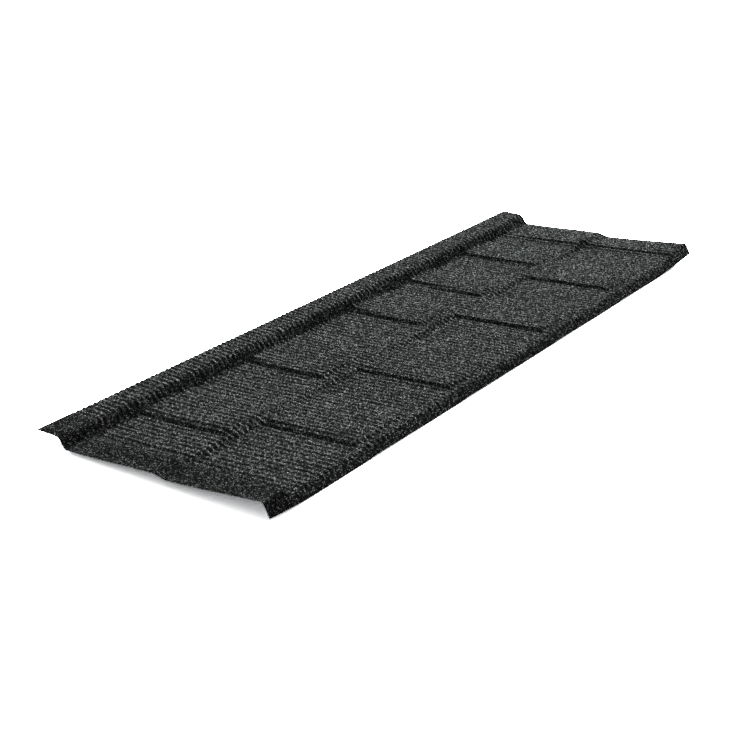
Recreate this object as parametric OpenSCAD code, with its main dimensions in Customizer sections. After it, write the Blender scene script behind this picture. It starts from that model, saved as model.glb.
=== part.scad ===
// Granule-coated steel roofing sheet pressed as two courses of raised shingle tabs.
// X runs along the batten from the underlap end, Y from the nose up the roof, Z up.
// The section is drawn in the pan's own axes and then laid on its foot and nose, as it rests.

/* [Sheet] */
// Overall length along the batten
sheet_l = 1335; // [1250:1:1500]
// Thickness over the steel and its granule coat
sheet_t = 1.6; // [1:0.1:2.5]

/* [Batten flange] */
// Width of the flange that lies on the batten
flange_w = 42; // [30:1:60]
// Rise of the flange over its width, about level once the sheet rests
flange_rise = 3; // [0:0.5:5]
// Height of the upstand behind the pan, from the low face's foot to the flange
web_h = 19.5; // [14:0.5:30]
// Run of the upstand, which leans back
web_run = 11; // [6:1:16]
// How far the soft bend between flange and upstand reaches each way
brow_bend = 8; // [4:0.5:9]
// How far the bend at the foot of the upstand reaches each way
foot_bend = 5; // [3:0.5:7]

/* [Courses] */
// Depth from the nose to the foot of the upstand
pan_d = 354; // [340:1:380]
// How far the rear course curves up to the foot of the upstand
rear_rise = 3; // [0:0.5:5]
// How deep that curve is, from the foot forwards
rear_rise_d = 100; // [60:1:120]
// Distance from the nose to the top of the step between the courses
step_y = 190; // [182:1:190]
// Run of the step between the courses
step_run = 8; // [5:1:14]
// Run of the same step at the two ends, where it is soft
end_step_run = 21; // [12:1:28]
// Drop of the step between the courses
step_h = 6; // [4:0.5:8]
// Fall of the front course from the step to the nose
front_fall = 1; // [0:0.5:2]

/* [Nose] */
// Drop of the nose below the front course's low face
nose_h = 15.5; // [12:0.5:24]
// Distance that the nose's crease lies behind the pan's front line
crease_y = 3; // [1:0.5:5]
// Run of the nose, which leans forward
nose_run = 10; // [6:0.5:14]
// How far the bend of the nose reaches each way
nose_bend = 4.5; // [2:0.5:6]
// Rise of the nose below a raised tab
nose_lift = 1.5; // [0:0.5:3]

/* [Shingle tabs] */
// Height of a raised tab at its steep side over the face beside it
tab_h = 5; // [4:0.5:7]
// Height that is left at its soft side, to which the tab's top falls
tab_far_h = 2; // [1:0.5:4]
// Run of a tab's soft side, which faces the overlap end
fade_run = 10; // [6:1:24]
// Run of a tab's front edge
lip_run = 5; // [3:0.5:6]
// How far the small bends of tabs and steps reach each way
edge_bend = 2; // [0.5:0.5:2]
// Where each tab of the rear course starts
rear_starts = [169, 424, 708, 901, 1095]; // [130:1:1160]
// Width of each tab of the rear course
rear_widths = [101, 131, 100, 69, 81]; // [40:1:150]
// Run of the steep side of each tab of the rear course, which faces the underlap end
rear_risers = [12, 12, 5, 12, 5]; // [5:1:20]
// Distance from the nose to the front edge of each tab of the rear course
rear_fronts = [194, 204, 204, 197, 198]; // [194:1:212]
// How far the front of each rear tab's steep side leans to the overlap end
rear_skews = [2, -8, -4, -10, -9]; // [-15:1:15]
// Where each tab of the front course starts
front_starts = [242, 492, 785, 1034]; // [130:1:1160]
// Width of each tab of the front course
front_widths = [120, 143, 112, 104]; // [40:1:160]
// Run of the steep side of each tab of the front course, which faces the underlap end
front_risers = [14, 16, 6, 9]; // [5:1:20]
// How far the front of each front tab's steep side leans to the overlap end
front_skews = [-5, -6, -3, -2]; // [-15:1:15]
// Distance from the nose to the front edge of the front course's tabs
tab_front = 17; // [12:1:22]

/* [Side laps] */
// Width of the raised end that laps over the next sheet, in the rear course
end_tab_w = 86; // [80:1:120]
// How much narrower that raised end is in the front course
end_tab_step = 28; // [0:1:32]
// Run of the raised end's steep side in the rear course
rear_end_riser = 14; // [5:1:20]
// Run of the raised end's steep side in the front course
front_end_riser = 18; // [5:1:20]
// How far the front of that steep side leans to the overlap end, in each course
end_skew = 4; // [0:1:10]
// Width of the whole strip that lies under the next sheet
under_w = 81; // [76:1:90]
// Width of the flat along the edge of that strip
under_flat_w = 16; // [8:1:24]
// Distance from the end to the ridge of the strip
ridge_at = 49; // [40:1:54]
// Height of the ridge over the flat
ridge_h = 3; // [1:0.5:4]
// Distance from the end to the bottom of the drain groove
groove_at = 66; // [60:1:70]
// Depth of the drain groove below the low face
groove_d = 3; // [1:0.5:4]
// How far both front corners of the sheet sweep up
corner_lift = 7.5; // [0:0.5:9]
// How far the nose's lower edge sweeps up at the underlap end
under_tip_lift = 5.5; // [0:0.5:9]
// How far the nose's lower edge sweeps up at the overlap end
over_tip_lift = 8.5; // [0:0.5:10]
// Length of that sweep at the underlap end
under_sweep = 120; // [80:1:150]
// Length of that sweep at the overlap end
over_sweep = 190; // [100:1:220]

/* [Hidden] */

// Segments in a large bend of the section, and rows in each curved stretch
bend_n = 3;
curve_n = 4;
// How the corner's sweep steepens towards the nose, and towards the ends
sweep_power_y = 1.5;
sweep_power_x = 2;
// Share of the raised ends' height that is left at the foot of the upstand
end_foot = 0.4;
// Sections closer than this are drawn as one
least_gap = 0.5;

// Heights in the pan's axes, with the rear course's raised tabs at zero
low_z = -tab_h;
foot_z = low_z + rear_rise;
front_z = low_z - step_h;
crease_z = front_z - front_fall;
nose_tip = [crease_y - nose_run, crease_z - nose_h];
step_foot_y = step_y - step_run;

// Share of the way from a to b, held between 0 and 1
function share(v, a, b) = min(1, max(0, (v - a) / (b - a)));

// How far one tab is raised at a place, and a row of tabs
function tab_at(x, start, width, riser) =
    let (end = start + width)
    lookup(x, [[start - riser, 0], [start, tab_h], [end, tab_far_h], [end + fade_run, 0]]);
function row_at(x, starts, widths, risers) =
    max([for (i = [0:len(starts) - 1]) tab_at(x, starts[i], widths[i], risers[i])]);
function rear_row(x) = row_at(x, rear_starts, rear_widths, rear_risers);
function front_row(x) = row_at(x, front_starts, front_widths, front_risers);

// The underlap strip with its ridge and groove, and the raised end that laps over the next sheet
rear_end_x = sheet_l - end_tab_w;
front_end_x = rear_end_x + end_tab_step;
under_line_x = [0, under_flat_w, ridge_at, groove_at, under_w];
under_line_z = [tab_h, tab_h, tab_h + ridge_h, -groove_d, 0];
function under_at(x) = lookup(x, [for (i = [0:len(under_line_x) - 1]) [under_line_x[i], under_line_z[i]]]);
function over_at(x, y) =
    let (in_front = y < step_y)
    let (top = in_front ? front_end_x : rear_end_x, run = in_front ? front_end_riser : rear_end_riser)
    tab_h * share(x, top - run, top);

// The front corners sweep up from the nose's line
function sweep_at(x, at_under, at_over) =
    at_under * pow(1 - share(x, 0, under_sweep), sweep_power_x)
    + at_over * pow(1 - share(sheet_l - x, 0, over_sweep), sweep_power_x);

// One place on the section: y, z, then its share of the rear tabs, the front tabs, the raised
// ends, the nose's rise, the corners' sweep, the lower edge's sweep, and of the lean of the tabs
function place(
    y, z, rear = 0, front = 0, end = 0, nose = 0, sweep = 0, tip = 0, rear_lean = 0, front_lean = 0
) = [y, z, rear, front, end, nose, sweep, tip, rear_lean, front_lean];
function rear_y(t) = pan_d - rear_rise_d * t;
function rear_z(t) = low_z + rear_rise * pow(1 - t, 2);
function sweep_share(y) = pow(1 - share(y, 0, step_foot_y), sweep_power_y);
function front_y(t) = step_foot_y + (tab_front + lip_run - step_foot_y) * t;
function front_at(y, raised) =
    place(
        y, front_z - front_fall * (1 - share(y, 0, step_foot_y)), front = raised, end = 1,
        sweep = sweep_share(y), front_lean = 1 - share(y, tab_front, step_foot_y)
    );

// A section across one place along the sheet, whose tab edges lie where that place has them
function lip_y(x) = lookup(x, [
    for (i = [0:len(rear_starts) - 1])
        let (from = rear_starts[i] - rear_risers[i], to = rear_starts[i] + rear_widths[i] + fade_run)
        each [[from, rear_fronts[i]], [to, rear_fronts[i]]]
]);
function lean_at(x, starts, skews, end_x) =
    let (tabs = [for (i = [0:len(starts) - 1]) [starts[i], skews[i]]])
    lookup(x, concat([[0, 0]], tabs, [[end_x, end_skew], [sheet_l, 0]]));
function step_end(x) =
    step_y - step_run - (end_step_run - step_run)
    * (1 - share(x, 0, under_w) + share(x, front_end_x - front_end_riser, sheet_l));
function corners(x) = let (lip = lip_y(x)) concat(
    [
        [place(pan_d + web_run + flange_w, foot_z + web_h + flange_rise), 0],
        [place(pan_d + web_run, foot_z + web_h), brow_bend],
        [place(pan_d, foot_z, rear = 1, end = end_foot), foot_bend]
    ],
    [
        for (k = [1:curve_n])
            let (t = k / curve_n)
            [place(rear_y(t), rear_z(t), rear = 1, end = end_foot + (1 - end_foot) * t, rear_lean = t), 0]
    ],
    [
        [place(lip + lip_run, low_z, rear = 1, end = 1, rear_lean = 1), edge_bend],
        [place(lip, low_z, end = 1, rear_lean = 1), edge_bend],
        [place(step_y, low_z, end = 1), edge_bend],
        [place(step_end(x), front_z, front = 1, end = 1), edge_bend]
    ],
    [for (k = [1:curve_n - 1]) [front_at(front_y(k / curve_n), 1), 0]],
    [
        [front_at(tab_front + lip_run, 1), edge_bend],
        [front_at(tab_front, 0), edge_bend],
        [place(crease_y, crease_z, end = 1, nose = 1, sweep = 1), nose_bend],
        [place(nose_tip[0], nose_tip[1], nose = 1, tip = 1), 0]
    ]
);

// A bend replaces its corner by a curve that starts and ends its reach away from the corner
function cut_back(a, b, reach) = b + (a - b) * min(0.45, reach / norm([a[0] - b[0], a[1] - b[1]]));
function bent(a, b, c, reach) =
    let (
        p = cut_back(a, b, reach),
        q = cut_back(c, b, reach),
        n = reach > edge_bend ? bend_n : 1
    )
    [for (k = [0:n]) let (t = k / n) p * pow(1 - t, 2) + b * 2 * t * (1 - t) + q * t * t];
function section(x) =
    let (c = corners(x), last = len(c) - 1)
    concat(
        [c[0][0]],
        [
            for (i = [1:last - 1])
                each c[i][1] == 0 ? [c[i][0]] : bent(c[i - 1][0], c[i][0], c[i + 1][0], c[i][1])
        ],
        [c[last][0]]
    );

// Every place along the sheet where its form changes, in order and once each
function tab_places(starts, widths, risers) = [
    for (i = [0:len(starts) - 1])
        let (end = starts[i] + widths[i])
        each [starts[i] - risers[i], starts[i], end, end + fade_run]
];
function sorted(v) =
    len(v) < 2 ? v :
    let (m = v[floor(len(v) / 2)])
    concat(sorted([for (e = v) if (e < m) e]), [m], sorted([for (e = v) if (e > m) e]));
function spaced(v) = [for (i = [0:len(v) - 1]) if (i == len(v) - 1 || v[i + 1] - v[i] > least_gap) v[i]];
stations = spaced(sorted(concat(
    under_line_x,
    [(under_w + under_sweep) / 2, under_sweep],
    tab_places(rear_starts, rear_widths, rear_risers),
    tab_places(front_starts, front_widths, front_risers),
    [for (k = [1:curve_n]) sheet_l - over_sweep * k / curve_n],
    [rear_end_x - rear_end_riser, rear_end_x, front_end_x - front_end_riser, front_end_x],
    [(front_end_x + sheet_l) / 2, sheet_l]
)));
cols = len(stations);

// Upper face of the sheet across one station, and the underside one thickness square below it
function height(x, s) =
    s[1] + s[6] * sweep_at(x, corner_lift, corner_lift)
    + s[7] * sweep_at(x, under_tip_lift, over_tip_lift)
    + max(
        s[2] * rear_row(x),
        s[3] * front_row(x),
        s[5] * nose_lift / tab_h * front_row(x),
        s[4] * (under_at(x) + over_at(x, s[0]))
    )
    + min(0, s[4] * under_at(x));
function across(x, s) =
    x + s[8] * lean_at(x, rear_starts, rear_skews, rear_end_x)
    + s[9] * lean_at(x, front_starts, front_skews, front_end_x);
function top_line(x) = [for (s = section(x)) [s[0], height(x, s), across(x, s)]];
function square_down(line, j) =
    let (d = line[min(j + 1, len(line) - 1)] - line[max(j - 1, 0)], n = norm([d[0], d[1]]))
    line[j] + [-d[1], d[0], 0] * sheet_t / n;
function under_line(line) = [for (j = [0:len(line) - 1]) square_down(line, j)];
tops = [for (x = stations) top_line(x)];
unders = [for (line = tops) under_line(line)];
rows = len(tops[0]);

// The sheet rests on the edge of its nose and on the underside at its foot
rest_tilt = min([
    for (line = unders, p = line)
        if (p[0] > step_y) atan2(p[1] - nose_tip[1], p[0] - nose_tip[0])
]);
function rested(p) = [
    p[2],
    p[0] * cos(rest_tilt) + p[1] * sin(rest_tilt),
    p[1] * cos(rest_tilt) - p[0] * sin(rest_tilt)
];
loose = [
    for (i = [0:cols - 1], k = [0:2 * rows - 1])
        rested(k < rows ? tops[i][k] : unders[i][2 * rows - 1 - k])
];
low = [for (a = [0:2]) min([for (p = loose) p[a]])];
high = [for (a = [0:2]) max([for (p = loose) p[a]])];
origin = [(low[0] + high[0]) / 2, (low[1] + high[1]) / 2, low[2]];
points = [for (p = loose) p - origin];

// Faces of the skin between stations, and of the two ends
ring = 2 * rows;
function at(i, k) = i * ring + k % ring;
skin = [
    for (i = [0:cols - 2], k = [0:ring - 1])
        each [[at(i, k), at(i + 1, k + 1), at(i, k + 1)], [at(i, k), at(i + 1, k), at(i + 1, k + 1)]]
];
function end_face(i) = [
    for (j = [0:rows - 2])
        let (a = at(i, j), b = at(i, j + 1), c = at(i, ring - 2 - j), d = at(i, ring - 1 - j))
        each i == 0 ? [[a, b, c], [a, c, d]] : [[a, c, b], [a, d, c]]
];

module roof_sheet() {
    color("#3a3b3a")
        polyhedron(points = points, faces = concat(skin, end_face(0), end_face(cols - 1)));
}

roof_sheet();
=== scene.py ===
import math

import bmesh
import bpy
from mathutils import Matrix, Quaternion, Vector


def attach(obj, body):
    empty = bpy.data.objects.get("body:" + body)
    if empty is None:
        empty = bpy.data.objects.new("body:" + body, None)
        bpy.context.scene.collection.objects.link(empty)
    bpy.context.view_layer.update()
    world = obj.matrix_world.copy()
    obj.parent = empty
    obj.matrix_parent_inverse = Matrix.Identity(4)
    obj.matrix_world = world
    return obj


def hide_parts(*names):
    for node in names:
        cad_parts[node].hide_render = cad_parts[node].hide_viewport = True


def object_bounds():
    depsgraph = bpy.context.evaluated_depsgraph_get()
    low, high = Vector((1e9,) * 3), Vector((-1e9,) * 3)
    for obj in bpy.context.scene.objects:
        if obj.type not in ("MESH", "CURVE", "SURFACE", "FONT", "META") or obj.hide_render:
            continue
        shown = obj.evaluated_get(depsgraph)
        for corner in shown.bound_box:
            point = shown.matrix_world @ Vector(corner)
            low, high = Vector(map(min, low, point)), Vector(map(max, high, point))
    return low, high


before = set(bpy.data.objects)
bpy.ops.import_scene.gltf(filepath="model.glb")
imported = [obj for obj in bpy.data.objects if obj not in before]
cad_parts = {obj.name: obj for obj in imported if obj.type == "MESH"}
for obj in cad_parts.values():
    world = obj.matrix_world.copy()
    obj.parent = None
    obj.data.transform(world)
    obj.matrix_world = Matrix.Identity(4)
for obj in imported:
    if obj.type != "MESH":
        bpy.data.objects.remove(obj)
cad_low, cad_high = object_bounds()
MM = 0.001

# Camera and room. The photo looks down the length of the sheet from its underlap end,
# through a long lens, against plain white. The floor is grey paper to the light, so that it
# keeps the sheet's shadow, and its colour is lighter to the camera.
CAMERA_AT = (-2.0712, -1.3050, 0.9464)
CAMERA_LOOKS_ALONG = (0.7663, 0.5196, -0.3778)
CAMERA_ROLL = math.radians(0.47)
LENS_MM = 77.0
SENSOR_MM = 36.0
FLOOR_SIZE = 14.0
FLOOR_LIT = 0.8
FLOOR_SEEN = 14.0

scene = bpy.context.scene


def linear(srgb_hex):
    """The linear colour of an sRGB hex value."""
    channels = [int(srgb_hex[i:i + 2], 16) / 255 for i in (0, 2, 4)]
    turned = [c / 12.92 if c <= 0.04045 else ((c + 0.055) / 1.055) ** 2.4 for c in channels]
    return (*turned, 1.0)


def add_node(tree, kind, settings=None, **links):
    """One node with its settings and its inputs, which are sockets or plain values."""
    node = tree.nodes.new(kind)
    for name, value in (settings or {}).items():
        setattr(node, name, value)
    for name, value in links.items():
        socket = node.inputs[int(name[1:])] if name[0] == "_" and name[1:].isdigit() else node.inputs[name.replace("_", " ")]
        if isinstance(value, bpy.types.NodeSocket):
            tree.links.new(value, socket)
        else:
            socket.default_value = value
    return node


camera = bpy.data.objects.new("camera", bpy.data.cameras.new("camera"))
scene.collection.objects.link(camera)
camera.location = CAMERA_AT
level_view = Vector(CAMERA_LOOKS_ALONG).to_track_quat("-Z", "Y")
camera.rotation_euler = (level_view @ Quaternion((0, 0, 1), CAMERA_ROLL)).to_euler()
camera.data.lens = LENS_MM
camera.data.sensor_width = SENSOR_MM
camera.data.clip_end = 50
scene.camera = camera
scene.view_settings.view_transform = "Standard"

half = FLOOR_SIZE / 2
floor_mesh = bpy.data.meshes.new("floor")
floor_mesh.from_pydata([(-half, -half, 0), (half, -half, 0), (half, half, 0), (-half, half, 0)], [], [(0, 1, 2, 3)])
floor = bpy.data.objects.new("floor", floor_mesh)
scene.collection.objects.link(floor)

paper = bpy.data.materials.new("matt_white_paper")
paper.use_nodes = True
tree = paper.node_tree
tree.nodes.clear()
seen = add_node(tree, "ShaderNodeLightPath")
tone = add_node(
    tree, "ShaderNodeMapRange", Value=seen.outputs["Is Camera Ray"], To_Min=FLOOR_LIT, To_Max=FLOOR_SEEN)
matt = add_node(tree, "ShaderNodeBsdfDiffuse", Color=tone.outputs[0])
out = add_node(tree, "ShaderNodeOutputMaterial", Surface=matt.outputs["BSDF"])
floor_mesh.materials.append(paper)

world = bpy.data.worlds.new("studio")
scene.world = world
world.use_nodes = True
tree = world.node_tree
tree.nodes.clear()
ray = add_node(tree, "ShaderNodeLightPath")
fill = add_node(tree, "ShaderNodeBackground", Color=linear("FFFFFF"), Strength=0.14)
seen = add_node(tree, "ShaderNodeBackground", Color=linear("FFFFFF"), Strength=1.0)
white_to = add_node(
    tree, "ShaderNodeMath", {"operation": "MAXIMUM"},
    _0=ray.outputs["Is Camera Ray"], _1=ray.outputs["Is Glossy Ray"])
both = add_node(
    tree, "ShaderNodeMixShader", _0=white_to.outputs[0], _1=fill.outputs[0], _2=seen.outputs[0])
add_node(tree, "ShaderNodeOutputWorld", Surface=both.outputs[0])


def add_softbox(name, at, towards, width, depth, watts):
    lamp = bpy.data.lights.new(name, "AREA")
    lamp.shape = "RECTANGLE"
    lamp.size = width
    lamp.size_y = depth
    lamp.energy = watts
    box = bpy.data.objects.new(name, lamp)
    scene.collection.objects.link(box)
    box.location = at
    box.rotation_euler = (Vector(towards) - Vector(at)).to_track_quat("-Z", "Y").to_euler()


add_softbox("key", (6.15, 2.1, 2.65), (0, 0, 0), 1.6, 1.2, 1120)

# The sheet. One piece of 0.45 mm coated steel, pressed cold: fine ribs across the whole width,
# then the courses, tabs, flange and nose. Its skin is read off the upper face of the CAD sheet,
# section by section, drawn finer along X, ribbed, and given its thickness again below.
RIB_PITCH = 11.45 * MM
RIB_DEPTH = 1.4 * MM  # about 1 mm on the real sheet, drawn deeper because a rib is 4 pixels wide
PLAIN_STRIP = 62 * MM
RIBS_FULL_AT = 80 * MM
CUTS_PER_RIB = 6
SHOULDER = (1, 2, 3, 2, 1)
SHEET_T = 0.45 * MM
UPWARD = 0.2
SAME_POINT = 0.01 * MM

upper = bmesh.new()
upper.from_mesh(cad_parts["roof_sheet"].data)
bmesh.ops.remove_doubles(upper, verts=upper.verts, dist=SAME_POINT)
hidden = [face for face in upper.faces if face.normal.z < UPWARD]
bmesh.ops.delete(upper, geom=hidden, context="FACES")

# Sections of the upper face from one end to the other: each holds the points next to the last one
section = {v for v in upper.verts if v.co.x < cad_low.x + SAME_POINT}
drawn = set()
sections = []
while section:
    sections.append([v.co.copy() for v in sorted(section, key=lambda v: v.co.y)])
    drawn |= section
    section = {edge.other_vert(v) for v in section for edge in v.link_edges} - drawn
upper.free()
rows = len(sections[0])
assert all(len(line) == rows for line in sections), "the upper face is not a grid"

# The same rows, cut square to X at every few degrees of a rib
cut_step = RIB_PITCH / CUTS_PER_RIB
cuts = [cad_low.x + k * cut_step for k in range(int((cad_high.x - cad_low.x) / cut_step) + 1)]
cuts.append(cad_high.x)


def row_points(row, cuts):
    """Points at the cuts on one row, which runs through all sections."""
    at = 0
    points = []
    for x in cuts:
        while at < len(sections) - 2 and sections[at + 1][row].x < x:
            at += 1
        p, q = sections[at][row], sections[at + 1][row]
        points.append(p.lerp(q, (x - p.x) / (q.x - p.x)))
    return points


def rounded(points):
    """The row with its shoulders rounded as a press leaves them; its places along X stay."""
    reach = len(SHOULDER) // 2
    soft = []
    for i, p in enumerate(points):
        near = [points[min(max(i + k, 0), len(points) - 1)] for k in range(-reach, reach + 1)]
        mean = sum((w * q for w, q in zip(SHOULDER, near)), Vector()) / sum(SHOULDER)
        soft.append(Vector((p.x, mean.y, mean.z)))
    return soft


skin_lines = list(zip(*[rounded(row_points(row, cuts)) for row in range(rows)]))
points = [p for line in skin_lines for p in line]
faces = []
for i in range(len(skin_lines) - 1):
    for j in range(rows - 1):
        corner = i * rows + j
        faces.append((corner, corner + rows, corner + rows + 1, corner + 1))

sheet_mesh = bpy.data.meshes.new("ribbed_sheet")
sheet_mesh.from_pydata(points, [], faces)
sheet = bpy.data.objects.new("ribbed_sheet", sheet_mesh)
scene.collection.objects.link(sheet)

# Geometry Nodes press the ribs down into the skin, square to it
press = bpy.data.node_groups.new("press_ribs", "GeometryNodeTree")
press.interface.new_socket("Skin", in_out="INPUT", socket_type="NodeSocketGeometry")
rib_sizes = (
    ("Pitch", RIB_PITCH), ("Depth", RIB_DEPTH),
    ("Plain To", cad_low.x + PLAIN_STRIP), ("Full From", cad_low.x + RIBS_FULL_AT))
for name, value in rib_sizes:
    press.interface.new_socket(name, in_out="INPUT", socket_type="NodeSocketFloat").default_value = value
press.interface.new_socket("Sheet", in_out="OUTPUT", socket_type="NodeSocketGeometry")
given = add_node(press, "NodeGroupInput")
place = add_node(press, "GeometryNodeInputPosition")
split = add_node(press, "ShaderNodeSeparateXYZ", Vector=place.outputs[0])
turns = add_node(press, "ShaderNodeMath", {"operation": "DIVIDE"}, _0=split.outputs["X"], _1=given.outputs["Pitch"])
angle = add_node(press, "ShaderNodeMath", {"operation": "MULTIPLY"}, _0=turns.outputs[0], _1=math.tau)
wave = add_node(press, "ShaderNodeMath", {"operation": "COSINE"}, _0=angle.outputs[0])
down = add_node(press, "ShaderNodeMath", {"operation": "MULTIPLY_ADD"}, _0=wave.outputs[0], _1=0.5, _2=-0.5)
grow = add_node(
    press, "ShaderNodeMapRange", Value=split.outputs["X"],
    From_Min=given.outputs["Plain To"], From_Max=given.outputs["Full From"], To_Max=given.outputs["Depth"])
dip = add_node(press, "ShaderNodeMath", {"operation": "MULTIPLY"}, _0=down.outputs[0], _1=grow.outputs[0])
square = add_node(press, "GeometryNodeInputNormal")
shift = add_node(press, "ShaderNodeVectorMath", {"operation": "SCALE"}, Vector=square.outputs[0], Scale=dip.outputs[0])
moved = add_node(press, "GeometryNodeSetPosition", Geometry=given.outputs["Skin"], Offset=shift.outputs[0])
real = add_node(press, "GeometryNodeRealizeInstances", Geometry=moved.outputs[0])
coated = add_node(press, "GeometryNodeSetMaterial", Geometry=real.outputs[0])
done = add_node(press, "NodeGroupOutput", Sheet=coated.outputs[0])

# Stone granules bonded in acrylic: crushed dark basalt with a scatter of pale chips, dry and
# matt with no glint. The real chips are about 1 mm; they are drawn coarser so that they show.
GRIT = 1.3 * MM
# Painted shade: across the underlap strip, the first 78 mm from the end, the granule colour is scaled down to half,
# fading in over 12 mm, in place of shade that the strip's relief does not cast.
PAINTED_SHADE_END = cad_low.x + 78 * MM
PAINTED_SHADE_FADE = 12 * MM
PAINTED_SHADE_TONE = 0.5
coat = bpy.data.materials.new("stone_granule_coat")
coat.use_nodes = True
tree = coat.node_tree
tree.nodes.clear()
spot = add_node(tree, "ShaderNodeTexCoord")
chips = add_node(tree, "ShaderNodeTexVoronoi", Vector=spot.outputs["Object"], Scale=1 / GRIT)
chip = add_node(tree, "ShaderNodeSeparateColor", Color=chips.outputs["Color"])
ramp = add_node(tree, "ShaderNodeValToRGB", Fac=chip.outputs["Red"])
stops = ramp.color_ramp
stops.interpolation = "LINEAR"
stops.elements[0].position = 0.0
stops.elements[0].color = linear("161817")
stops.elements[1].position = 1.0
stops.elements[1].color = linear("F0F4F2")
for at, tone in ((0.6, "2E3130"), (0.84, "4A4E4D"), (0.91, "8A8E8C")):
    stops.elements.new(at).color = linear(tone)
along = add_node(tree, "ShaderNodeSeparateXYZ", Vector=spot.outputs["Object"])
# Painted shade: the granule colour is darkened towards the underlap end of the sheet.
strip_shade = add_node(
    tree, "ShaderNodeMapRange", Value=along.outputs["X"],
    From_Min=PAINTED_SHADE_END - PAINTED_SHADE_FADE, From_Max=PAINTED_SHADE_END, To_Min=PAINTED_SHADE_TONE, To_Max=1.0)
shaded_colour = add_node(
    tree, "ShaderNodeVectorMath", {"operation": "SCALE"}, Vector=ramp.outputs[0], Scale=strip_shade.outputs[0])
bump = add_node(
    tree, "ShaderNodeBump", {"invert": True}, Strength=0.2, Distance=0.6 * MM,
    Height=chips.outputs["Distance"])
skin = add_node(
    tree, "ShaderNodeBsdfPrincipled", {"name": "coat"}, Base_Color=shaded_colour.outputs[0], Roughness=1.0,
    Specular_IOR_Level=0.0, Normal=bump.outputs[0])
add_node(tree, "ShaderNodeOutputMaterial", Surface=skin.outputs[0])
coated.inputs["Material"].default_value = coat

# Underneath, the steel's aluminium-zinc coat under clear acrylic: satin grey metal whose
# spangle, flat crystals some 6 mm across, differs a little in tone and gloss.
SPANGLE = 6.0 * MM
back = bpy.data.materials.new("aluminium_zinc_coat")
back.use_nodes = True
tree = back.node_tree
tree.nodes.clear()
spot = add_node(tree, "ShaderNodeTexCoord")
crystals = add_node(tree, "ShaderNodeTexVoronoi", Vector=spot.outputs["Object"], Scale=1 / SPANGLE)
crystal = add_node(tree, "ShaderNodeSeparateColor", Color=crystals.outputs["Color"])
tone = add_node(tree, "ShaderNodeMix", {"data_type": "RGBA"}, Factor=crystal.outputs["Red"])
tone.inputs["A"].default_value = linear("8D9193")
tone.inputs["B"].default_value = linear("A7ABAC")
gloss = add_node(tree, "ShaderNodeMapRange", Value=crystal.outputs["Green"], To_Min=0.38, To_Max=0.52)
skin = add_node(
    tree, "ShaderNodeBsdfPrincipled", Base_Color=tone.outputs["Result"], Metallic=0.85,
    Roughness=gloss.outputs[0])
add_node(tree, "ShaderNodeOutputMaterial", Surface=skin.outputs[0])

rib_press = sheet.modifiers.new("press_ribs", "NODES")
rib_press.node_group = press
thicken = sheet.modifiers.new("thickness", "SOLIDIFY")
thicken.thickness = SHEET_T
thicken.offset = -1
bpy.context.view_layer.update()
pressed = sheet.evaluated_get(bpy.context.evaluated_depsgraph_get())
finished = bpy.data.meshes.new_from_object(pressed)
sheet.modifiers.clear()
sheet.data = finished

# Solidify lists the coated face first, then the back, then the cut edges, which keep the coat
finished.materials.append(back)
back_faces = range(len(faces), 2 * len(faces))
for poly in finished.polygons:
    poly.use_smooth = True
    poly.material_index = 1 if poly.index in back_faces else 0
finished.set_sharp_from_angle(angle=math.radians(50))
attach(sheet, "root")
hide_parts("roof_sheet")

print("sheet faces", len(finished.polygons), "vertices", len(finished.vertices))
